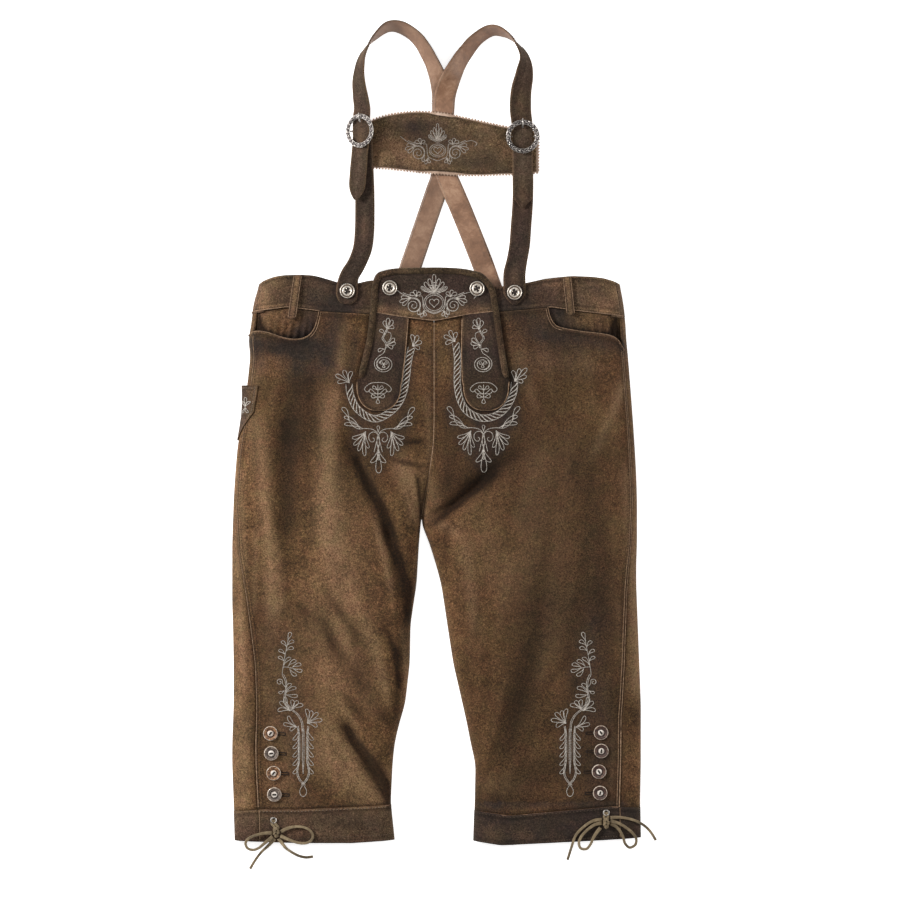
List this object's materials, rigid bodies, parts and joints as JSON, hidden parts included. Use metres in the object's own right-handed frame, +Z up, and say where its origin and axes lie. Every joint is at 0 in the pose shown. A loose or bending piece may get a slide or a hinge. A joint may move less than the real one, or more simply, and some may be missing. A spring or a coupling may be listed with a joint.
{
  "type": "lederhosen with braces",
  "caption": "Knee-length suede lederhosen with drop front, embroidered braces and laced knee bands, laid flat on their back.",
  "frame": {"origin": "on the surface the garment lies on, under the middle of the garment", "axes": "+Z up out of the garment's front, +Y from the hems to the braces, +X to the right as seen from above"},
  "size_m": [0.5568, 1.113, 0.0371],
  "materials": {
    "suede": "matt suede, mottled",
    "dark_suede": "matt suede",
    "smooth_leather": "smooth, satin",
    "lace_leather": "matt",
    "antique_metal": "antique silver",
    "horn": "satin horn"
  },
  "bodies": {
    "root": {"back_button_left": "horn", "back_button_right": "horn", "back_left": "suede", "back_right": "suede", "belt_loop_left": "suede", "belt_loop_right": "suede", "buckle_left": "antique_metal", "buckle_right": "antique_metal", "chest_bar_backing": "smooth_leather", "chest_bar_front": "dark_suede", "eyelet_left": "antique_metal", "eyelet_right": "antique_metal", "flap_band": "dark_suede", "flap_button_left": "horn", "flap_button_right": "horn", "flap_welt": "dark_suede", "front_left": "suede", "front_right": "suede", "front_strap_left": "dark_suede", "front_strap_right": "dark_suede", "knee_button_left_1": "horn", "knee_button_left_2": "horn", "knee_button_left_3": "horn", "knee_button_left_4": "horn", "knee_button_right_1": "horn", "knee_button_right_2": "horn", "knee_button_right_3": "horn", "knee_button_right_4": "horn", "kneeband_left": "dark_suede", "kneeband_right": "dark_suede", "knife_pocket": "dark_suede", "lace_knot_left": "lace_leather", "lace_knot_right": "lace_leather", "lace_left_end_inner": "lace_leather", "lace_left_end_outer": "lace_leather", "lace_left_loop_inner": "lace_leather", "lace_left_loop_outer": "lace_leather", "lace_right_end_inner": "lace_leather", "lace_right_end_outer": "lace_leather", "lace_right_loop_inner": "lace_leather", "lace_right_loop_outer": "lace_leather", "pocket_facing_left": "suede", "pocket_facing_right": "suede", "strap_button_left": "horn", "strap_button_right": "horn", "strap_left": "dark_suede", "strap_right": "dark_suede", "tongue_left": "dark_suede", "tongue_right": "dark_suede", "waistband_back": "dark_suede", "waistband_front_left": "dark_suede", "waistband_front_right": "dark_suede"}
  },
  "joints": []
}
